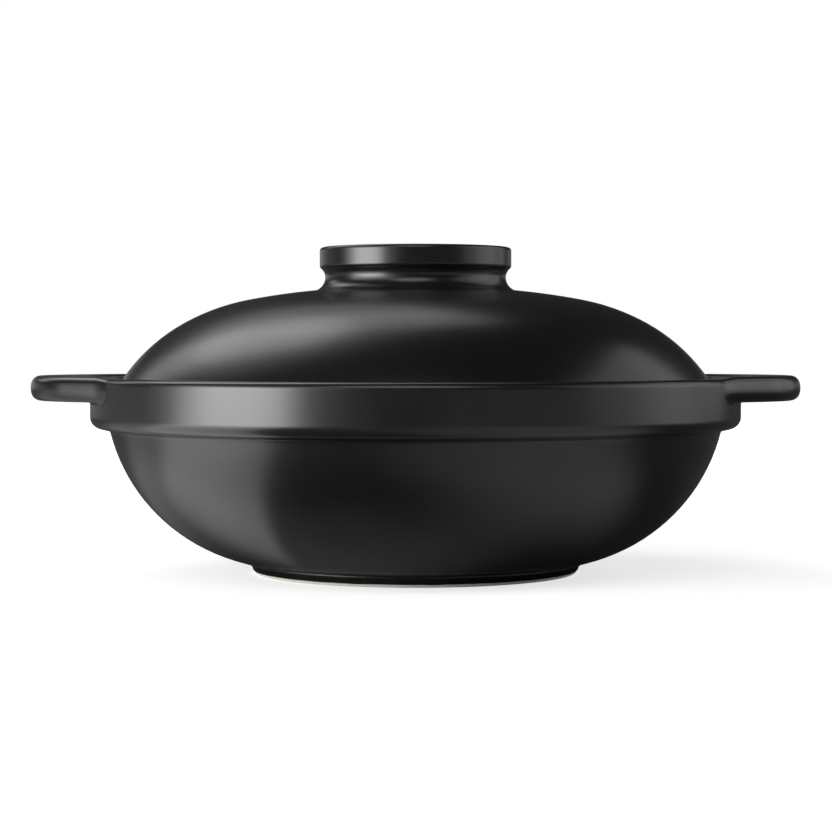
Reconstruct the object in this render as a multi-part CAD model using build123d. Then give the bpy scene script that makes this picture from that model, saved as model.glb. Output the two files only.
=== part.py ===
from build123d import *
import os
from math import acos, asin, atan2, cos, degrees, hypot, radians, sin, sqrt

# A shallow clay cooking pot with a domed lid, in millimetres.
# The origin is the centre of the foot on the table, +Z is up and the handles lie along X.
# The pot is a thrown bowl with a foot ring, a heavy rim and two slab handles luted on.
# The lid is a thrown dome with a hollow ring knob luted on, and it rests in the rim's seat.

# Rim: a thick collar with a seat for the lid on its inside
rim_radius = 140.0
rim_width = 12.0  # wall beside the lid, at the top
rim_underside = 62.7
rim_depth = 21.6
rim_overhang = 8.2  # how far the rim stands proud of the bowl below it
rim_lower_round = 4.6
rim_upper_round = 2.6
rim_inner_round = 1.5
seat_depth = 7.5
seat_round = 1.4

# Bowl: a flat floor that turns up in one round curve and meets the rim's underside
bowl_curve = 76.2
base_height = 3.4
bowl_wall = 7.5
well_drop = 8.1  # where the bowl's inside turns upright, below the rim's underside
well_easing = 14.0

# Foot: a low ring whose lowest edge is left unglazed
foot_spread = 14.2  # from the end of the flat floor out to the foot's outside
foot_width = 9.0
foot_bevel_width = 2.0
foot_bevel_height = 1.6
foot_inner_bevel = 0.8

# Handles: flat slabs, level with the rim, round at the tip and flared into the rim
handle_projection = 26.4  # tip beyond the rim
handle_tip_radius = 45.0
handle_root_spread = 25.73  # how much wider than the tip the root coves are set
handle_thickness = 10.4
handle_edge_flat = 2.0  # upright strip between the edge's two rounds
handle_rise = 0.8
handle_root_cove = 22.0
handle_root_kink_angle = 10.0
handle_lap = 4.0

# Lid dome: three round stretches from the flat crown out to the skirt, each to its own slope
lid_clearance = 1.2
lid_wall = 6.5
crown_flat_margin = 2.05  # flat of the crown beyond the knob
crown_slope_angle = 15.0
shoulder_slope_angle = 34.3
skirt_slope_angle = 57.5
crown_width_share = 0.432
shoulder_width_share = 0.32
lid_edge_height = 5.71  # upright edge above the seat
lid_edge_round = 3.0
lid_foot_round = 1.0
vent_radius = 4.0
vent_distance = 72.0

# Knob: a hollow ring with a waist, which is also the lid's foot when the lid lies upside down
knob_radius = 41.45
knob_wall = 7.95
knob_height = 19.7
knob_base_cove = 6.0
knob_base_sink = 0.3
knob_waist_flat = 1.1
knob_waist_depth = 2.35
knob_waist_cove = 4.9
knob_lip_round = 1.7
knob_top_round = 1.6

# Worked-out heights and radii that more than one piece shares
overrun = 5.0
rim_top = rim_underside + rim_depth
seat_height = rim_top - seat_depth
rim_bore_radius = rim_radius - rim_width
bowl_centre_height = base_height + bowl_curve
bowl_rise = acos((bowl_centre_height - rim_underside) / bowl_curve)
floor_radius = rim_radius - rim_overhang - bowl_curve * sin(bowl_rise)
inner_curve = bowl_curve - bowl_wall
inner_rise = acos((bowl_centre_height - rim_underside + well_drop) / inner_curve)
well_radius = floor_radius + inner_curve * sin(inner_rise)
handle_top = rim_top + handle_rise
lid_radius = rim_bore_radius - lid_clearance
knob_waist_radius = knob_radius - knob_waist_depth
crown_flat_radius = knob_radius + crown_flat_margin

# The dome's three curves: each takes its part of the width and turns down to its own slope
crown_slope, shoulder_slope, skirt_slope = map(
    radians, (crown_slope_angle, shoulder_slope_angle, skirt_slope_angle)
)
dome_width = lid_radius - crown_flat_radius
crown_width = dome_width * crown_width_share
shoulder_width = dome_width * shoulder_width_share
skirt_width = dome_width - crown_width - shoulder_width
crown_curve = crown_width / sin(crown_slope)
shoulder_curve = shoulder_width / (sin(shoulder_slope) - sin(crown_slope))
skirt_curve = skirt_width / (sin(skirt_slope) - sin(shoulder_slope))
dome_drop = (
    crown_curve * (1 - cos(crown_slope))
    + shoulder_curve * (cos(crown_slope) - cos(shoulder_slope))
    + skirt_curve * (cos(shoulder_slope) - cos(skirt_slope))
)
crown_height = seat_height + lid_edge_height + dome_drop


def turned(lines, rounds=()):
    """Turns a section, drawn as (radius, height), round the pot's axis after rounding its corners."""
    face = make_face(lines)
    for radius, place in rounds:
        face = fillet(face.vertices().sort_by_distance(place)[0], radius)
    return revolve(Plane.XZ * face, Axis.Z)


def save(solid, node):
    """Writes one named piece."""
    export_step(solid, os.path.join("parts", node + ".step"))


def make_bowl():
    """The thrown bowl: a floor and one round curve, thicker where the wall turns up below the seat."""
    outside = JernArc((floor_radius, base_height), (1, 0), bowl_curve, degrees(bowl_rise))
    inside = JernArc((floor_radius, base_height + bowl_wall), (1, 0), inner_curve, degrees(inner_rise))
    well_foot = inside @ 1
    well_top = (well_radius, rim_underside)
    lines = [
        Line((0, base_height), outside @ 0),
        outside,
        Line(outside @ 1, well_top),
        Line(well_top, well_foot),
        inside,
        Line(inside @ 0, (0, base_height + bowl_wall)),
        Line((0, base_height + bowl_wall), (0, base_height)),
    ]
    return turned(lines, [(well_easing, well_foot)])


def make_rim():
    """The heavy rim: a ring that stands on the bowl's wall, stepped inside to seat the lid."""
    corners = [
        (well_radius, rim_underside),
        (rim_radius, rim_underside),
        (rim_radius, rim_top),
        (rim_bore_radius, rim_top),
        (rim_bore_radius, seat_height),
        (well_radius, seat_height),
    ]
    rounds = [
        (rim_lower_round, corners[1]),
        (rim_upper_round, corners[2]),
        (rim_inner_round, corners[3]),
        (seat_round, corners[5]),
    ]
    return turned([Polyline(*corners, close=True)], rounds)


def make_foot(bowl):
    """The foot ring: glazed outside, with a bare bevelled edge, cut to the bowl's underside."""
    foot_radius = floor_radius + foot_spread
    inner_radius = foot_radius - foot_width
    top = base_height + bowl_wall / 2
    corners = [
        (inner_radius + foot_inner_bevel, 0),
        (foot_radius - foot_bevel_width, 0),
        (foot_radius, foot_bevel_height),
        (foot_radius, top),
        (inner_radius, top),
        (inner_radius, foot_inner_bevel),
    ]
    return turned([Polyline(*corners, close=True)]) - bowl


def handle_outline():
    """The handle seen from above: a round tip, straight flared sides, and coves that meet the rim."""
    tip_centre = Vector(rim_radius + handle_projection - handle_tip_radius, 0)
    # the cove's centre lies just within its own radius of the rim's circle
    kink = cos(radians(handle_root_kink_angle))
    centre_reach = sqrt(rim_radius ** 2 + handle_root_cove ** 2 + 2 * rim_radius * handle_root_cove * kink)
    cove_side = handle_tip_radius + handle_root_spread
    cove_centre = Vector(sqrt(centre_reach ** 2 - cove_side ** 2), cove_side)
    # the straight side touches the tip's circle and the cove's circle, one on each side of it
    span = cove_centre - tip_centre
    flare = atan2(span.Y, span.X) - acos((handle_tip_radius + handle_root_cove) / span.length)
    outward = Vector(cos(flare), sin(flare))
    side_start = tip_centre + outward * handle_tip_radius
    side_end = cove_centre - outward * handle_root_cove
    cove_end = cove_centre * ((centre_reach - handle_root_cove) / centre_reach)
    heel = cove_end * ((rim_bore_radius - overrun) / cove_end.length)
    turn = degrees(flare - atan2(cove_centre.Y, cove_centre.X))
    cove = JernArc(side_end, side_end - side_start, handle_root_cove, -turn)
    half = [
        Line(side_start, side_end),
        cove,
        Line(cove @ 1, heel),
    ]
    tip = CenterArc(tip_centre, handle_tip_radius, -degrees(flare), 2 * degrees(flare))
    other_half = [mirror(line, Plane.XZ) for line in half]
    bridge = Line(heel, (heel.X, -heel.Y))
    return make_face([tip, *half, bridge, *other_half])


def make_handle(rim):
    """One slab handle on the +X side, rounded along its free edges and cut to fit the rim."""
    outline = Pos(0, 0, handle_top - handle_thickness) * handle_outline()
    slab = extrude(outline, amount=handle_thickness)
    free_edges = [
        edge for edge in slab.edges().filter_by(Plane.XY)
        if hypot(edge.center().X, edge.center().Y) > rim_radius
    ]
    slab = fillet(free_edges, (handle_thickness - handle_edge_flat) / 2)
    lap_radius = rim_radius - handle_lap
    hollow = Pos(0, 0, handle_top) * Cylinder(lap_radius, 2 * handle_thickness + overrun)
    return slab - rim - hollow


def dome_line(inset):
    """The dome's section line, drawn outwards from the crown; the inside lies one wall deeper."""
    crown = JernArc((crown_flat_radius, crown_height - inset), (1, 0), crown_curve - inset, -crown_slope_angle)
    shoulder_turn = shoulder_slope_angle - crown_slope_angle
    shoulder = JernArc(crown @ 1, crown % 1, shoulder_curve - inset, -shoulder_turn)
    centre = shoulder @ 1 - Vector(sin(shoulder_slope), cos(shoulder_slope)) * (skirt_curve - inset)
    return crown, shoulder, centre


def make_dome():
    """The lid's dome with its steam vent: its edge stands in the rim's seat on a flat foot."""
    crown, shoulder, centre = dome_line(0)
    inner_crown, inner_shoulder, centre = dome_line(lid_wall)
    inner_skirt_curve = skirt_curve - lid_wall
    skirt_turn = skirt_slope_angle - shoulder_slope_angle
    inner_turn = degrees(acos((seat_height - centre.Y) / inner_skirt_curve)) - shoulder_slope_angle
    skirt = JernArc(shoulder @ 1, shoulder % 1, skirt_curve, -skirt_turn)
    inner_skirt = JernArc(inner_shoulder @ 1, inner_shoulder % 1, inner_skirt_curve, -inner_turn)
    edge_foot = (lid_radius, seat_height)
    lines = [
        Line((0, crown_height), crown @ 0),
        crown,
        shoulder,
        skirt,
        Line(skirt @ 1, edge_foot),
        Line(edge_foot, inner_skirt @ 1),
        inner_skirt,
        inner_shoulder,
        inner_crown,
        Line(inner_crown @ 0, (0, crown_height - lid_wall)),
        Line((0, crown_height - lid_wall), (0, crown_height)),
    ]
    rounds = [
        (lid_edge_round, skirt @ 1),
        (lid_foot_round, edge_foot),
    ]
    dome = turned(lines, rounds)
    vent = Pos(0, vent_distance, crown_height) * Cylinder(vent_radius, 2 * crown_height)
    return dome - vent


def make_knob():
    """The ring knob: a waisted wall round a bore that is open down to the crown."""
    sink = crown_height - knob_base_sink
    cove_height = sink + knob_base_cove
    waist_height = cove_height + knob_waist_flat
    cove_turn = degrees(asin((cove_height - crown_height) / knob_base_cove))
    lip_angle = degrees(acos(1 - knob_waist_depth / (knob_waist_cove + knob_lip_round)))
    base = JernArc((knob_waist_radius, cove_height), (0, -1), knob_base_cove, cove_turn)
    waist = JernArc((knob_waist_radius, waist_height), (0, 1), knob_waist_cove, -lip_angle)
    lip = JernArc(waist @ 1, waist % 1, knob_lip_round, lip_angle)
    bore_radius = knob_radius - knob_wall
    top_edge = (knob_radius, crown_height + knob_height)
    bore_edge = (bore_radius, crown_height + knob_height)
    bore_foot = (bore_radius, crown_height)
    lines = [
        base,
        Line(base @ 0, waist @ 0),
        waist,
        lip,
        Line(lip @ 1, top_edge),
        Line(top_edge, bore_edge),
        Line(bore_edge, bore_foot),
        Line(bore_foot, base @ 1),
    ]
    return turned(lines, [(knob_top_round, top_edge), (knob_top_round, bore_edge)])


os.makedirs("parts", exist_ok=True)
bowl = make_bowl()
rim = make_rim()
handle = make_handle(rim)
save(bowl, "pot_bowl")
save(rim, "rim_band")
save(make_foot(bowl), "foot_ring")
save(handle, "handle_right")
save(mirror(handle, Plane.YZ), "handle_left")
save(make_dome(), "lid_dome")
save(make_knob(), "lid_knob")
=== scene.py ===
import math

import bmesh
import bpy
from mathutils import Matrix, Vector


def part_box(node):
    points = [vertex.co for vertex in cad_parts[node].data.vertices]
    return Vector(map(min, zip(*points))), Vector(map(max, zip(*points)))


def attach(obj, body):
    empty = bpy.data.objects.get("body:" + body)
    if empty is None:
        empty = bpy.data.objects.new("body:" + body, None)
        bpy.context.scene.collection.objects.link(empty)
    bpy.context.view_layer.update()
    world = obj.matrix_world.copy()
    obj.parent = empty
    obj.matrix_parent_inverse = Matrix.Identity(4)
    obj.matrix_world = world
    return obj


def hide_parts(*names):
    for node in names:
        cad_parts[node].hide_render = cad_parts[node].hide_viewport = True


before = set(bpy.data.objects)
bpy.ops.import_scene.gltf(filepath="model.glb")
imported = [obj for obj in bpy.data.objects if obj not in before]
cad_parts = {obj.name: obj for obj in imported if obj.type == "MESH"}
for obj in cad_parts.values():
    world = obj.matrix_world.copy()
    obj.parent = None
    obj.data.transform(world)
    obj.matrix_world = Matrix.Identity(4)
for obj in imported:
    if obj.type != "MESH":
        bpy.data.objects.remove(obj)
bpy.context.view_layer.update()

# Camera: a long lens just under a metre away, a little higher than the rim.
# It is tilted down so that the pot stands in the middle of the frame.
camera_place = (0.0002, -0.9848, 0.09845)
camera_lens = 98.12
camera_tilt = 1.80
camera_data = bpy.data.cameras.new("camera")
camera_data.lens = camera_lens
camera_data.sensor_width = 36
camera = bpy.data.objects.new("camera", camera_data)
camera.location = camera_place
camera.rotation_euler = (math.radians(90 - camera_tilt), 0, 0)
bpy.context.scene.collection.objects.link(camera)
bpy.context.scene.camera = camera

# Bowl: the thrown body of the pot, one round curve from a flat floor up to the rim.
# It is stoneware, glazed black inside and out; a bead of glaze fills the corner under the rim.
mm = 0.001
bowl_low, bowl_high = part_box("pot_bowl")
bowl_sag = 0.18 * mm
bowl_base = bowl_low.z - bowl_sag
bowl_top = bowl_high.z
bowl_curve = 76 * mm
bowl_wall = 7.5 * mm
bowl_centre = bowl_base + bowl_curve
floor_radius = 57.7 * mm
well_radius = 121.49 * mm
well_easing = 14 * mm
rim_bead = 1.6 * mm
rim_bead_turn = 62.7
rim_under_slope = 13.3
hidden_in_rim = 0.6 * mm
centre_disc = 6 * mm
wheel_steps = 256
weld_distance = 0.001 * mm
crisp_angle = math.radians(35)


class Section:
    """A thrown piece's section line, drawn like a path of straight runs and round turns."""

    run_shares = (0.03, 0.5, 0.97, 1)
    fewest_steps = 3
    step_angle = 6
    step_length = 4 * mm

    def __init__(self, radius, height, heading):
        self.points = [Vector((radius, height))]
        self.heading = heading

    def run(self, length):
        """Goes straight on. Two rings close to the ends keep the flat flat."""
        way = math.radians(self.heading)
        ahead = Vector((math.cos(way), math.sin(way)))
        start = self.points[-1]
        for share in self.run_shares:
            self.points.append(start + ahead * (length * share))

    def to(self, radius, height):
        """Goes straight to a place, and heads the way it went."""
        way = Vector((radius, height)) - self.points[-1]
        self.heading = math.degrees(math.atan2(way.y, way.x))
        self.run(way.length)

    def turn(self, curve, angle):
        """Turns in a round of that radius: left for an angle over zero, and otherwise right."""
        side = math.copysign(1, angle)
        first = math.radians(self.heading)
        centre = self.points[-1] + Vector((-math.sin(first), math.cos(first))) * (curve * side)
        by_angle = round(abs(angle) / self.step_angle)
        by_length = round(curve * math.radians(abs(angle)) / self.step_length)
        steps = max(self.fewest_steps, by_angle, by_length)
        for step in range(1, steps + 1):
            now = first + math.radians(angle) * step / steps
            self.points.append(centre + Vector((math.sin(now), -math.cos(now))) * (curve * side))
        self.heading += angle


def alone(piece):
    """Makes a piece the only one selected."""
    bpy.ops.object.select_all(action="DESELECT")
    piece.select_set(True)
    bpy.context.view_layer.objects.active = piece


def pick_edges(piece, keep):
    """Selects the edges that a rule keeps, in edit mode."""
    mesh = bmesh.from_edit_mesh(piece.data)
    for edge in mesh.edges:
        edge.select = keep(edge)
    bmesh.update_edit_mesh(piece.data)


def throw(name, section, on_axis):
    """Draws a ring up into a wall, ring by ring along the section line, as clay is on the wheel."""
    first = section.points[0]
    bpy.ops.object.select_all(action="DESELECT")
    bpy.ops.mesh.primitive_circle_add(vertices=wheel_steps, radius=1, location=(0, 0, 0))
    piece = bpy.context.object
    piece.name = piece.data.name = name
    bpy.ops.object.mode_set(mode="EDIT")
    bpy.ops.transform.resize(value=(first.x, first.x, 1))
    bpy.ops.transform.translate(value=(0, 0, first.y))
    for last, point in zip(section.points, section.points[1:]):
        grown = point.x / last.x
        climb = (0, 0, point.y - last.y)
        bpy.ops.mesh.extrude_edges_move(TRANSFORM_OT_translate={"value": climb})
        bpy.ops.transform.resize(value=(grown, grown, 1), center_override=(0, 0, point.y))
    if on_axis:
        bpy.ops.mesh.edge_face_add()
        bpy.ops.mesh.poke()
        bpy.ops.mesh.select_all(action="DESELECT")
        pick_edges(piece, lambda edge: edge.is_boundary)
        bpy.ops.mesh.edge_face_add()
        bpy.ops.mesh.poke()
    bpy.ops.mesh.select_all(action="SELECT")
    bpy.ops.mesh.remove_doubles(threshold=weld_distance)
    bpy.ops.mesh.normals_make_consistent(inside=False)
    bpy.ops.object.mode_set(mode="OBJECT")
    bpy.ops.object.shade_smooth_by_angle(angle=crisp_angle)
    return piece


class Shade:
    """A value that varies over a surface. Sums and products of such values add Math nodes."""

    def __init__(self, tree, socket=None):
        self.tree = tree
        self.socket = socket

    def node(self, kind, settings=None, inputs=None, output=0):
        """Adds a node, sets it up, and fills its sockets with values or links."""
        made = self.tree.nodes.new("ShaderNode" + kind)
        for name, value in (settings or {}).items():
            setattr(made, name, value)
        for name, value in (inputs or {}).items():
            if isinstance(value, Shade):
                self.tree.links.new(value.socket, made.inputs[name])
            else:
                made.inputs[name].default_value = value
        return Shade(self.tree, made.outputs[output])

    def sum(self, operation, *values):
        return self.node("Math", {"operation": operation}, dict(enumerate(values)))

    def __add__(self, other):
        return self.sum("ADD", self, other)

    def __mul__(self, other):
        return self.sum("MULTIPLY", self, other)

    def __sub__(self, other):
        return self.sum("SUBTRACT", self, other)

    def __rsub__(self, other):
        return self.sum("SUBTRACT", other, self)

    def __truediv__(self, other):
        return self.sum("DIVIDE", self, other)

    def between(self, low, high):
        """0 at low and 1 at high, held at the ends."""
        settings = {"interpolation_type": "SMOOTHSTEP"}
        inputs = {"Value": self, "From Min": low, "From Max": high}
        return self.node("MapRange", settings, inputs)

    def mixed(self, low, high):
        """One colour where the value is 0 and another where it is 1."""
        colours = {0: self, 6: low, 7: high}
        return self.node("Mix", {"data_type": "RGBA"}, colours, output=2)

    __radd__ = __add__
    __rmul__ = __mul__


def new_material(name):
    """A material with its Principled shader, and the surface's own place in metres."""
    material = bpy.data.materials.new(name)
    material.use_nodes = True
    tree = material.node_tree
    place = Shade(tree).node("TexCoord", output=3)
    return material, tree.nodes["Principled BSDF"], place


def noise(place, size, detail):
    """Soft cloudy noise from 0 to 1 with clouds of that size in metres."""
    return place.node("TexNoise", {}, {"Vector": place, "Scale": 1 / size, "Detail": detail})


glaze_black = (0.0050, 0.0050, 0.0052, 1)
glaze_pale = (0.0085, 0.0083, 0.0080, 1)
glaze_roughness = 0.26
glossiest = glaze_roughness - 0.02
cloud_size = 22 * mm
cloud_height = 0.004 * mm
cloud_dullness = 0.03
cloud_range = (0.3, 0.8)
grain_size = 0.7 * mm
grain_height = 0.0012 * mm
grain_dullness = 0.02
pottery_ior = 1.5


def finished(material, shader, colour, roughness, height):
    """Links what varies over the surface to the shader, with the height in metres as a bump."""
    bump = height.node("Bump", {}, {"Height": height, "Strength": 1.0, "Distance": 1.0})
    varied = (("Base Color", colour), ("Roughness", roughness), ("Normal", bump))
    for name, value in varied:
        material.node_tree.links.new(value.socket, shader.inputs[name])
    shader.inputs["IOR"].default_value = pottery_ior
    return material


def lay_glaze(name):
    """Satin black glaze: nearly smooth, faintly clouded, with an eggshell skin."""
    material, shader, place = new_material(name)
    clouds = noise(place, cloud_size, detail=3)
    grain = noise(place, grain_size, detail=2)
    colour = clouds.between(*cloud_range).mixed(glaze_black, glaze_pale)
    roughness = glossiest + clouds * cloud_dullness + grain * grain_dullness
    height = grain * grain_height + clouds * cloud_height
    return finished(material, shader, colour, roughness, height)


black_glaze = lay_glaze("satin_black_glaze")

inner_curve = bowl_curve - bowl_wall
well_spread = (well_radius - well_easing - floor_radius) / (inner_curve - well_easing)
well_angle = math.degrees(math.asin(well_spread))

bowl_line = Section(centre_disc, bowl_base, 0)
bowl_line.run(floor_radius - centre_disc)
bowl_line.turn(bowl_curve, rim_under_slope + rim_bead_turn)
bowl_line.turn(rim_bead, -rim_bead_turn)
bowl_line.to(bowl_line.points[-1].x, bowl_top + hidden_in_rim)
bowl_line.to(well_radius + hidden_in_rim, bowl_top + hidden_in_rim)
bowl_line.to(well_radius, bowl_top)
bowl_inside = Section(centre_disc, bowl_base + bowl_wall, 0)
bowl_inside.run(floor_radius - centre_disc)
bowl_inside.turn(inner_curve, well_angle)
bowl_inside.turn(well_easing, 90 - well_angle)
bowl_line.points += reversed(bowl_inside.points)
bowl = throw("bowl", bowl_line, on_axis=True)
bowl.data.materials.append(black_glaze)
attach(bowl, "pot")
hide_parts("pot_bowl")

# Rim: a heavy collar thrown with the bowl, with a step inside that the lid rests on.
# It is glazed like the bowl. Its corners are softly rounded, and its underside falls inwards.
rim_low, rim_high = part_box("rim_band")
rim_radius = rim_high.x
rim_bore = 128 * mm
seat_height = 76.8 * mm
rim_lower_round = 4.9 * mm
rim_lower_middle = 67.65 * mm
rim_under_start = 131.6 * mm
rim_upper_round = 2.6 * mm
rim_inner_round = 1.5 * mm
seat_round = 1.4 * mm
seat_cove = 0.8 * mm

under_slope = math.radians(rim_under_slope)
round_start_radius = rim_radius - rim_lower_round * (1 - math.sin(under_slope))
round_start_height = rim_lower_middle - rim_lower_round * math.cos(under_slope)
under_rise = (round_start_radius - rim_under_start) * math.tan(under_slope)
rim_line = Section(well_radius, rim_low.z, 0)
rim_line.to(rim_under_start, rim_low.z)
rim_line.to(rim_under_start, round_start_height - under_rise)
rim_line.to(round_start_radius, round_start_height)
rim_line.turn(rim_lower_round, 90 - rim_under_slope)
rim_line.to(rim_radius, rim_high.z - rim_upper_round)
rim_line.turn(rim_upper_round, 90)
rim_line.to(rim_bore + rim_inner_round, rim_high.z)
rim_line.turn(rim_inner_round, 90)
rim_line.to(rim_bore, seat_height + seat_cove)
rim_line.turn(seat_cove, -90)
rim_line.to(well_radius + seat_round, seat_height)
rim_line.turn(seat_round, 90)
rim_line.to(well_radius, rim_low.z)
rim = throw("rim", rim_line, on_axis=False)
rim.data.materials.append(black_glaze)
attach(rim, "pot")
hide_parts("rim_band")

# Foot: a low ring turned from the bowl's underside once it was leather hard.
# The glaze is wiped off its lowest edge, where the cream stoneware shows.
foot_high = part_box("foot_ring")[1]
foot_trim = 0.4 * mm
foot_width = 8.6 * mm
foot_radius = foot_high.x - foot_trim
foot_inner = foot_radius - foot_width
foot_bevel_width = 2.1 * mm
foot_bevel_height = 2.7 * mm
foot_inner_bevel = 0.8 * mm
foot_soft = 0.35 * mm
foot_lower_round = 3 * foot_soft
foot_upper_round = 2 * foot_soft
foot_cove = 1.3 * mm
bevel_run = 0.7 * foot_bevel_width
bevel_angle = math.degrees(math.atan2(foot_bevel_height, foot_bevel_width))
foot_wiped_line = 1.25 * mm
clay_cream = (0.86, 0.83, 0.74, 1)
clay_speck = (0.50, 0.42, 0.30, 1)
clay_roughness = 0.85
clay_skin_size = 0.5 * mm
clay_skin_height = 0.05 * mm
speck_size = 0.9 * mm
speck_range = (0.62, 0.75)
wiped_edge = 0.12 * mm
wiped_wander_size = 9 * mm
wiped_wander = 0.4 * mm
glaze_thickness = 0.06 * mm


def lay_bare_foot(name, wiped_line):
    """Glaze above a soft, slightly uneven line at a height, and bare speckled clay below it."""
    material, shader, place = new_material(name)
    level = place.node("SeparateXYZ", {}, {0: place}, output=2)
    wander = (noise(place, wiped_wander_size, detail=2) - 0.5) * wiped_wander
    glazed = (level + wander).between(wiped_line - wiped_edge, wiped_line + wiped_edge)
    specks = noise(place, speck_size, detail=3).between(*speck_range)
    clay = specks.mixed(clay_cream, clay_speck)
    skin = noise(place, clay_skin_size, detail=3)
    colour = glazed.mixed(clay, glaze_black)
    roughness = clay_roughness - glazed * (clay_roughness - glaze_roughness)
    height = (1 - glazed) * skin * clay_skin_height + glazed * glaze_thickness
    return finished(material, shader, colour, roughness, height)


foot_top = bowl_base + bowl_wall / 2
cove_side = bowl_curve + foot_cove
cove_lean = math.asin((foot_radius + foot_cove - floor_radius) / cove_side)
cove_height = bowl_centre - cove_side * math.cos(cove_lean)
foot_line = Section(foot_inner + foot_inner_bevel, 0, 0)
foot_line.to(foot_radius - foot_bevel_width - foot_soft, 0)
foot_line.turn(foot_lower_round, bevel_angle)
foot_line.run(bevel_run)
foot_line.turn(foot_upper_round, 90 - bevel_angle)
foot_line.to(foot_radius, cove_height)
foot_line.turn(foot_cove, math.degrees(cove_lean) - 90)
foot_line.to(foot_line.points[-1].x, foot_top)
foot_line.to(foot_inner, foot_top)
foot_line.to(foot_inner, foot_inner_bevel)
foot_line.to(foot_inner + foot_inner_bevel, 0)
foot = throw("foot", foot_line, on_axis=False)
foot.data.materials.append(lay_bare_foot("glaze_and_bare_foot", foot_wiped_line))
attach(foot, "pot")
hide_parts("foot_ring")

# Handles: flat clay slabs, cut round at the tip, smoothed along the edge and luted to the rim.
# The joint is worked into coves at the sides and below, and on top the slab eases down to the rim.
handle_low, handle_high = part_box("handle_right")
handle_more_below = 0.2 * mm
handle_more_above = 0.12 * mm
handle_low.z -= handle_more_below
handle_high.z += handle_more_above
handle_reach = handle_high.x
handle_middle = (handle_low.z + handle_high.z) / 2
handle_half = (handle_high.z - handle_low.z) / 2
handle_flat = 0.6 * mm
face_curve = 7 * mm
face_turn = math.radians(20)
corner_rise = handle_half - handle_flat / 2 - face_curve * math.sin(face_turn)
corner_curve = corner_rise / (1 - math.sin(face_turn))
handle_tip_radius = 54.6 * mm
handle_root_cove = 50 * mm
handle_root_spread = 37.5 * mm
handle_root_kink = math.radians(12)
handle_under_cove = 1.5 * mm
handle_sink = 0.12 * mm
ease_start = 136.0 * mm
ease_end = 142.0 * mm
face_steps = 4
corner_steps = 9
tip_steps = 30
side_steps = 60
root_steps = 14
fan_steps = 26
near_enough = 0.01 * mm

# seen from above: the tip is a round, a straight side leaves it, and the cove meets the rim
tip_centre = handle_reach - handle_tip_radius
kinked = 2 * rim_radius * handle_root_cove * math.cos(handle_root_kink)
centre_reach = math.sqrt(rim_radius ** 2 + handle_root_cove ** 2 + kinked)
cove_y = handle_tip_radius + handle_root_spread
cove_centre = Vector((math.sqrt(centre_reach ** 2 - cove_y ** 2), cove_y, handle_middle))
to_cove = cove_centre - Vector((tip_centre, 0, handle_middle))
both_rounds = handle_tip_radius + handle_root_cove
handle_flare = math.atan2(to_cove.y, to_cove.x) - math.acos(both_rounds / to_cove.length)
flare_way = Vector((math.cos(handle_flare), math.sin(handle_flare), 0))
side_start = Vector((tip_centre, 0, handle_middle)) + flare_way * handle_tip_radius
side_end = cove_centre - flare_way * handle_root_cove
root_turn = handle_flare - math.atan2(cove_centre.y, cove_centre.x)


def smooth_step(share):
    """0 up to a share of 0 and 1 from a share of 1, with a soft run between."""
    share = min(1, max(0, share))
    return share * share * (3 - 2 * share)


def from_axis(vertex):
    """How far a vertex lies from the pot's axis."""
    return math.hypot(vertex.co.x, vertex.co.y)


def pick(keep):
    """Selects the vertices that a rule keeps, in edit mode."""
    mesh = bmesh.from_edit_mesh(bpy.context.object.data)
    for vertex in mesh.verts:
        vertex.select = keep(vertex.co)
    mesh.select_flush_mode()
    bmesh.update_edit_mesh(bpy.context.object.data)


# half the slab's edge is spun from a short flat: its face, its corners, the tip, side and cove
bpy.ops.object.select_all(action="DESELECT")
edge_place = (handle_reach, 0, handle_middle)
upright = (math.pi / 2, 0, 0)
bpy.ops.mesh.primitive_plane_add(size=handle_flat, location=edge_place, rotation=upright)
handle = bpy.context.object
handle.name = handle.data.name = "handle_slab_right"
bpy.ops.object.transform_apply(location=True, rotation=True, scale=True)
bpy.ops.object.mode_set(mode="EDIT")
bpy.ops.mesh.select_mode(type="VERT")
pick(lambda place: place.x < handle_reach)
bpy.ops.mesh.delete(type="VERT")
pick(lambda place: True)
bpy.ops.transform.translate(value=(-handle_flat / 2, 0, 0))
for side in (1, -1):
    edge_height = handle_middle + side * handle_flat / 2
    outermost = handle_reach - near_enough
    pick(lambda place: (place.z - handle_middle) * side > 0 and place.x > outermost)
    face_middle = Vector((handle_reach - face_curve, 0, edge_height))
    corner_way = Vector((math.cos(face_turn), 0, side * math.sin(face_turn)))
    corner_middle = face_middle + corner_way * (face_curve - corner_curve)
    for steps, turn, middle in (
        (face_steps, face_turn, face_middle),
        (corner_steps, math.pi / 2 - face_turn, corner_middle),
    ):
        bpy.ops.mesh.spin(steps=steps, angle=side * turn, axis=(0, 1, 0), center=middle)
pick(lambda place: True)
tip_middle = (tip_centre, 0, 0)
bpy.ops.mesh.spin(steps=tip_steps, angle=-handle_flare, axis=(0, 0, 1), center=tip_middle)
side_step = (side_end - side_start) / side_steps
for step in range(side_steps):
    bpy.ops.mesh.extrude_region_move(TRANSFORM_OT_translate={"value": side_step})
bpy.ops.mesh.spin(steps=root_steps, angle=root_turn, axis=(0, 0, 1), center=cove_centre)


def is_flat_line(edge):
    """Whether an open edge lies on the slab's flat top or bottom."""
    level = [abs(abs(vertex.co.z - handle_middle) - handle_half) for vertex in edge.verts]
    return edge.is_boundary and max(level) < weld_distance


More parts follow.
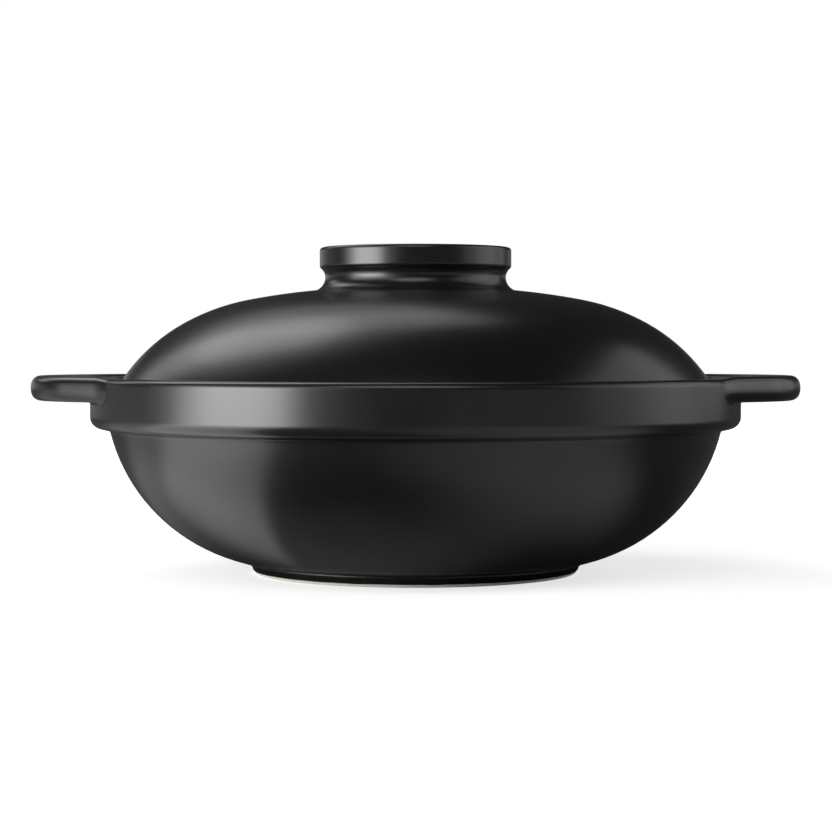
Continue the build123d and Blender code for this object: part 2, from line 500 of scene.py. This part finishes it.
# the flat top and bottom are drawn round the pot's axis, from the edge's inner line to the middle
bpy.ops.mesh.select_mode(type="EDGE")
pick_edges(handle, is_flat_line)
for step in range(fan_steps):
    bpy.ops.mesh.extrude_edges_move(TRANSFORM_OT_translate={"value": (0, 0, 0)})
    mesh = bmesh.from_edit_mesh(handle.data)
    left = fan_steps - step
    for vertex in mesh.verts:
        if vertex.select:
            reach = from_axis(vertex)
            angle = math.atan2(vertex.co.y, vertex.co.x) * (left - 1) / left
            vertex.co.x = reach * math.cos(angle)
            vertex.co.y = reach * math.sin(angle)
    bmesh.update_edit_mesh(handle.data)
bpy.ops.mesh.select_all(action="SELECT")
bpy.ops.mesh.remove_doubles(threshold=near_enough)
mesh = bmesh.from_edit_mesh(handle.data)
back_reach = min(from_axis(vertex) for vertex in mesh.verts)


def is_back_line(edge):
    """Whether an open edge lies on the slab's back."""
    return edge.is_boundary and max(map(from_axis, edge.verts)) < back_reach + near_enough


def is_open_end(edge):
    """Whether an open edge lies off the plane that the half is mirrored in."""
    return edge.is_boundary and max(vertex.co.y for vertex in edge.verts) > near_enough


# the hidden back, inside the rim, is bridged shut
pick_edges(handle, is_back_line)
bpy.ops.mesh.bridge_edge_loops()
bpy.ops.mesh.select_all(action="DESELECT")
pick_edges(handle, is_open_end)
bpy.ops.mesh.edge_face_add()

# the root: on top the slab eases down to the rim, and below it runs into a cove
ease_drop = handle_high.z - rim_high.z + handle_sink
mesh = bmesh.from_edit_mesh(handle.data)
for vertex in mesh.verts:
    reach = from_axis(vertex)
    rise = (vertex.co.z - handle_middle) / (handle_high.z - handle_middle)
    if rise > 0:
        eased = 1 - smooth_step((reach - ease_start) / (ease_end - ease_start))
        vertex.co.z -= rise * eased * ease_drop
    else:
        inward = min(handle_under_cove, max(0, rim_radius + handle_under_cove - reach))
        cove_left = math.sqrt(handle_under_cove ** 2 - inward ** 2)
        vertex.co.z += rise * (handle_under_cove - cove_left)
bmesh.update_edit_mesh(handle.data)
bpy.ops.object.mode_set(mode="OBJECT")
mirror = handle.modifiers.new("other_half", "MIRROR")
mirror.use_axis = (False, True, False)
mirror.use_clip = True
mirror.merge_threshold = near_enough
bpy.ops.object.modifier_apply(modifier=mirror.name)
bpy.ops.object.mode_set(mode="EDIT")
bpy.ops.mesh.select_all(action="SELECT")
bpy.ops.mesh.normals_make_consistent(inside=False)
bpy.ops.object.mode_set(mode="OBJECT")
bpy.ops.object.shade_smooth_by_angle(angle=crisp_angle)
handle.data.materials.append(black_glaze)

alone(handle)
bpy.ops.object.duplicate()
other_handle = bpy.context.object
other_handle.name = other_handle.data.name = "handle_slab_left"
bpy.ops.object.mode_set(mode="EDIT")
bpy.ops.mesh.select_all(action="SELECT")
bpy.ops.transform.resize(value=(-1, 1, 1), center_override=(0, 0, 0))
bpy.ops.mesh.normals_make_consistent(inside=False)
bpy.ops.object.mode_set(mode="OBJECT")
for slab, node in ((handle, "handle_right"), (other_handle, "handle_left")):
    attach(slab, "pot")
    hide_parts(node)

# Lid: a thrown dome, flat in the middle and rounder towards its edge, that stands in the rim's
# step. It is glazed inside and out, but for the bare foot of its edge, and pierced at the back
# for steam.
lid_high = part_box("lid_dome")[1]
lid_radius = lid_high.x
crown_height = lid_high.z
lid_wall = 6.5 * mm
crown_flat = 43.5 * mm
crown_share = 0.432
shoulder_share = 0.32
crown_width = (lid_radius - crown_flat) * crown_share
shoulder_width = (lid_radius - crown_flat) * shoulder_share
skirt_width = lid_radius - crown_flat - crown_width - shoulder_width
crown_slope = 15
shoulder_slope = 34.3
skirt_slope = 57.5
lid_edge_round = 3 * mm
lid_foot_round = 1 * mm
lid_foot_width = 4.2 * mm
knob_foot = 43.3 * mm
knob_foot_height = 121.94 * mm
knob_foot_slope = 5.36
knob_foot_lead = 2 * mm
knob_sink = 0.5 * mm
crown_under_knob = 36 * mm
dome_rounds = (
    (306 * mm, 10.84),
    (92.77 * mm, 28.99),
    (77.33 * mm, 55.83),
    (lid_edge_round, 90),
)
lid_bare_edge = 0.7 * mm


def sine(angle):
    """The sine of an angle in degrees."""
    return math.sin(math.radians(angle))


def cosine(angle):
    """The cosine of an angle in degrees."""
    return math.cos(math.radians(angle))


crown_curve = crown_width / sine(crown_slope)
shoulder_curve = shoulder_width / (sine(shoulder_slope) - sine(crown_slope))
skirt_curve = skirt_width / (sine(skirt_slope) - sine(shoulder_slope))

# outside, each round ends at a slope; inside, three rounds follow under the same wall
dome_line = Section(centre_disc, crown_height, 0)
dome_line.to(crown_under_knob, crown_height)
dome_line.to(knob_foot - knob_foot_lead, knob_foot_height - knob_sink)
dome_line.to(knob_foot, knob_foot_height)
dome_line.heading = -knob_foot_slope
for curve, slope in dome_rounds:
    dome_line.turn(curve, -slope - dome_line.heading)
dome_line.to(lid_radius, seat_height + lid_foot_round)
dome_line.turn(lid_foot_round, -90)
dome_line.to(lid_radius - lid_foot_width, seat_height)
inner_skirt_curve = skirt_curve - lid_wall
skirt_centre_drop = skirt_curve * cosine(shoulder_slope)
crown_fall = crown_curve * (1 - cosine(crown_slope))
shoulder_fall = shoulder_curve * (cosine(crown_slope) - cosine(shoulder_slope))
shoulder_end = crown_height - crown_fall - shoulder_fall
inner_end = (seat_height - shoulder_end + skirt_centre_drop) / inner_skirt_curve
inner_slope = math.degrees(math.acos(inner_end))
dome_inside = Section(centre_disc, crown_height - lid_wall, 0)
dome_inside.to(crown_flat, crown_height - lid_wall)
dome_inside.turn(crown_curve - lid_wall, -crown_slope)
dome_inside.turn(shoulder_curve - lid_wall, crown_slope - shoulder_slope)
dome_inside.turn(inner_skirt_curve, shoulder_slope - inner_slope)
dome_line.points += reversed(dome_inside.points)
dome = throw("lid_dome_glazed", dome_line, on_axis=True)

# the steam hole is pierced straight down, and the glaze softens both its lips
vent_radius = 4 * mm
vent_place = 72 * mm
vent_height = 112 * mm
vent_steps = 64
vent_lip = 0.6 * mm
vent_lip_steps = 4
vent_margin = 0.05 * mm
vent_corner = math.radians(40)
piercer_length = 40 * mm
bpy.ops.object.select_all(action="DESELECT")
bpy.ops.mesh.primitive_cylinder_add(
    vertices=vent_steps, radius=vent_radius, depth=piercer_length,
    location=(0, vent_place, vent_height),
)
piercer = bpy.context.object
bpy.ops.object.transform_apply(location=True, rotation=True, scale=True)
alone(dome)
pierce = dome.modifiers.new("steam_hole", "BOOLEAN")
pierce.operation = "DIFFERENCE"
pierce.solver = "EXACT"
pierce.object = piercer
bpy.ops.object.modifier_apply(modifier=pierce.name)
alone(piercer)
bpy.ops.object.delete()


def is_vent_lip(edge):
    """Whether an edge is a sharp one round the steam hole."""
    spread = [math.hypot(vertex.co.x, vertex.co.y - vent_place) for vertex in edge.verts]
    return max(spread) < vent_radius + vent_margin and edge.calc_face_angle(0) > vent_corner


alone(dome)
bpy.ops.object.mode_set(mode="EDIT")
bpy.ops.mesh.select_mode(type="EDGE")
pick_edges(dome, is_vent_lip)
bpy.ops.mesh.bevel(offset=vent_lip, segments=vent_lip_steps, profile=0.5)
bpy.ops.mesh.select_all(action="SELECT")
bpy.ops.mesh.normals_make_consistent(inside=False)
bpy.ops.object.mode_set(mode="OBJECT")
bpy.ops.object.shade_smooth_by_angle(angle=crisp_angle)
lid_finish = lay_bare_foot("glaze_and_bare_lid_edge", seat_height + lid_bare_edge)
dome.data.materials.append(lid_finish)
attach(dome, "lid")
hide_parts("lid_dome")

# Knob: a hollow ring thrown on the crown, with a waist for the fingers and a flat lip.
# Its foot runs out into the dome in a cove, and the lid stands on it when it lies upside down.
knob_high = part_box("lid_knob")[1]
knob_bore = 33.5 * mm
knob_waist_depth = 2.35 * mm
knob_base_cove = 6 * mm
knob_base_turn = 72
knob_waist_cove = 4.9 * mm
knob_lip_round = 1.7 * mm
knob_top_round = 1.6 * mm
knob_inner_cove = 2 * mm
knob_under_dome = 0.02 * mm
lip_share = knob_waist_depth / (knob_waist_cove + knob_lip_round)
lip_turn = math.degrees(math.acos(1 - lip_share))

knob_line = Section(knob_bore - knob_inner_cove, crown_height - knob_sink, 0)
knob_line.to(knob_foot - knob_sink, crown_height - knob_sink)
knob_line.to(knob_foot, knob_foot_height - knob_under_dome)
knob_line.heading = 90 + knob_base_turn
knob_line.turn(knob_base_cove, -knob_base_turn)
knob_line.turn(knob_waist_cove, -lip_turn)
knob_line.turn(knob_lip_round, lip_turn)
knob_line.to(knob_line.points[-1].x, knob_high.z - knob_top_round)
knob_line.turn(knob_top_round, 90)
knob_line.to(knob_bore + knob_top_round, knob_high.z)
knob_line.turn(knob_top_round, 90)
knob_line.to(knob_bore, crown_height + knob_inner_cove)
knob_line.turn(knob_inner_cove, -90)
knob_line.to(knob_bore - knob_inner_cove, crown_height - knob_sink)
knob = throw("lid_knob_ring", knob_line, on_axis=False)
knob.data.materials.append(black_glaze)
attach(knob, "lid")
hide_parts("lid_knob")

# Floor: a wide pale sheet that fades into the white behind it, and keeps the pot's shadow.
# What the glaze mirrors of it is painted: in reflections the floor is painted dark, and painted
# patches
# of light glow on it where no lamp shines: a bright one at the left, and weak ones at the far left,
# the right, in front and close by.
floor_reach = 3.0
floor_steps = 96
floor_drop = 0.02 * mm
fade_start = 0.45
fade_end = 1.3
floor_glow = 0.70
floor_pale = (0.62, 0.62, 0.62, 1)
# painted shade: the floor's colour as the glaze mirrors it, darker than the lit floor
painted_dark_reflection = (0.12, 0.12, 0.12, 1)
bpy.ops.object.select_all(action="DESELECT")
bpy.ops.mesh.primitive_circle_add(
    vertices=floor_steps, radius=floor_reach, fill_type="NGON", location=(0, 0, -floor_drop)
)
floor = bpy.context.object
floor.name = floor.data.name = "pale_floor"
floor_material, floor_shader, place = new_material("pale_floor")


def dot(way):
    """How far a place on the floor lies along a direction."""
    return place.node("VectorMath", {"operation": "DOT_PRODUCT"}, {0: place, 1: way}, output=1)


def measured(azimuth):
    """How far a place lies along an azimuth, and how far to its side, as a share of that."""
    turn = math.radians(azimuth)
    ahead = dot((math.sin(turn), -math.cos(turn), 0))
    aside = dot((math.cos(turn), math.sin(turn), 0))
    return ahead, aside / ahead


camera_ray = place.node("LightPath")
glossy_ray = Shade(camera_ray.tree, camera_ray.socket.node.outputs["Is Glossy Ray"])
radius = place.node("VectorMath", {"operation": "LENGTH"}, {0: place}, output=1)

# the painted patch of light at the left is a wedge that starts a little nearer on its right, and
# brightens outwards
left_azimuth = -62
left_half = math.tan(math.radians(22))
left_blur = 0.06
left_slant = 0.06
left_start = (0.086, 0.15)
left_dim = 0.7
left_dim_run = (-0.3, 0.1)
left_near_glow = 1.5
left_middle_run = (0.14, 0.46)
left_middle_glow = 2.8
left_far_run = (0.35, 0.9)
left_far_glow = 4.5
ahead, spread = measured(left_azimuth)
left_patch = spread.between(-left_half - left_blur, -left_half + left_blur)
left_patch = left_patch * (1 - spread.between(left_half - left_blur, left_half + left_blur))
left_patch = left_patch * (left_dim + spread.between(*left_dim_run) * (1 - left_dim))
left_patch = left_patch * (ahead + spread * left_slant).between(*left_start)
left_glow = left_near_glow + ahead.between(*left_middle_run) * left_middle_glow
left_patch = left_patch * (left_glow + ahead.between(*left_far_run) * left_far_glow)


def painted_soft_patch(azimuth, start, sides, glow):
    """A painted patch of light that begins over a run of distances and fades over a run of squared
    spreads.
    """
    ahead, spread = measured(azimuth)
    return ahead.between(*start) * (1 - (spread * spread).between(*sides)) * glow


# the painted far left and right patches of light fade to both sides
far_left_patch = painted_soft_patch(azimuth=-80, start=(0.07, 0.20), sides=(0.2, 0.8), glow=0.5)
right_patch = painted_soft_patch(azimuth=88, start=(0.4, 0.8), sides=(0.05, 0.3), glow=0.7)

# the painted front patch of light ends at its right and thins out to its left
front_azimuth = 40
front_start = (0.088, 0.16)
front_thin = 0.2
front_thin_run = (-1.4, 0.0)
front_end = (0.2, 0.65)
front_glow = 0.55
ahead, spread = measured(front_azimuth)
front_patch = front_thin + spread.between(*front_thin_run) * (1 - front_thin)
front_patch = front_patch * (1 - spread.between(*front_end))
front_patch = front_patch * ahead.between(*front_start) * front_glow

# the painted near patch of light lies under the bowl's left front
near_azimuth = -20
near_start = (0.05, 0.10)
near_end = (0.105, 0.15)
near_glow = 0.16
ahead, spread = measured(near_azimuth)
near_patch = ahead.between(*near_start) * (1 - radius.between(*near_end)) * near_glow

# all the painted patches of light, which glow only where the glaze mirrors the floor
painted_light_patches = left_patch + far_left_patch + right_patch + front_patch + near_patch
pale = floor_glow + radius.between(fade_start, fade_end) * (1 - floor_glow)
# the camera sees the floor glow white; reflections see the painted patches of light
glow = camera_ray * pale + glossy_ray * painted_light_patches
glow_colour = glow.node("CombineColor", {}, {"Red": glow, "Green": glow, "Blue": glow})
# in reflections the floor is painted dark, a painted shade in place of the lit pale floor
floor_colour = glossy_ray.mixed(floor_pale, painted_dark_reflection)
floor_links = floor_material.node_tree.links
floor_links.new(floor_colour.socket, floor_shader.inputs["Base Color"])
floor_links.new(glow_colour.socket, floor_shader.inputs["Emission Color"])
floor_shader.inputs["Emission Strength"].default_value = 1.0
floor_shader.inputs["Roughness"].default_value = 0.9
floor_shader.inputs["Specular IOR Level"].default_value = 0.0
floor.data.materials.append(floor_material)

# Light: a large soft light low at the left, bright in its middle, others high up and low behind the
# pot, weak ones at the right and one in front. Between them the studio is dark, which keeps the
# glaze black, while the camera sees white behind the pot.
world = bpy.data.worlds.new("studio")
bpy.context.scene.world = world
world.use_nodes = True
world_tree = world.node_tree
studio_dark = (0.03, 0.03, 0.03, 1)
studio_white = (1, 1, 1, 1)
world_path = Shade(world_tree).node("LightPath")
clear_path = Shade(world_tree, world_path.socket.node.outputs["Is Transmission Ray"])
seen = world_path + clear_path
world_colour = seen.mixed(studio_dark, studio_white)
background = world_tree.nodes["Background"]
world_tree.links.new(world_colour.socket, background.inputs["Color"])

light_distance = 2.0
light_aim = Vector((0, 0, 0.08))


def soft_light(name, shape, azimuth, elevation, half_width, half_height, radiance):
    """A lamp that faces the pot, placed and sized in degrees.

    Azimuth 0 is the camera's side, and 90 is the right.
    """
    lamp_data = bpy.data.lights.new(name, "AREA")
    lamp_data.shape = shape
    lamp_data.size = 2 * light_distance * math.tan(math.radians(half_width))
    lamp_data.size_y = 2 * light_distance * math.tan(math.radians(half_height))
    area = lamp_data.size * lamp_data.size_y * (1 if shape == "RECTANGLE" else math.pi / 4)
    lamp_data.energy = radiance * math.pi * area
    lamp = bpy.data.objects.new(name, lamp_data)
    turn, rise = math.radians(azimuth), math.radians(elevation)
    level = math.cos(rise)
    away = Vector((math.sin(turn) * level, -math.cos(turn) * level, math.sin(rise)))
    lamp.location = light_aim + away * light_distance
    lamp.rotation_euler = away.to_track_quat("Z", "Y").to_euler()
    lamp.visible_camera = False
    bpy.context.scene.collection.objects.link(lamp)


soft_light("left_core", "ELLIPSE", -59, 3, 18, 12, 7.0)
soft_light("left_box", "RECTANGLE", -62, 10, 24, 18, 3.0)
soft_light("left_halo", "ELLIPSE", -58, 10, 36, 32, 0.85)
soft_light("back_core", "ELLIPSE", -137, 52, 16, 16, 1.4)
soft_light("back_halo", "ELLIPSE", -142, 53, 28, 24, 0.5)
soft_light("back_top", "ELLIPSE", -170, 59, 17, 10, 0.85)
soft_light("back_tall", "RECTANGLE", -133, 42, 9, 26, 1.2)
soft_light("back_low", "RECTANGLE", -138, 1, 26, 8, 0.3)
soft_light("back_strip", "RECTANGLE", 180, 3, 40, 4, 0.24)
soft_light("right_core", "ELLIPSE", 92, 16, 18, 20, 0.8)
soft_light("right_box", "RECTANGLE", 95, 18, 37, 30, 0.85)
soft_light("front_box", "ELLIPSE", -5, 42, 22, 14, 2.4)
bpy.context.scene.view_settings.view_transform = "Standard"
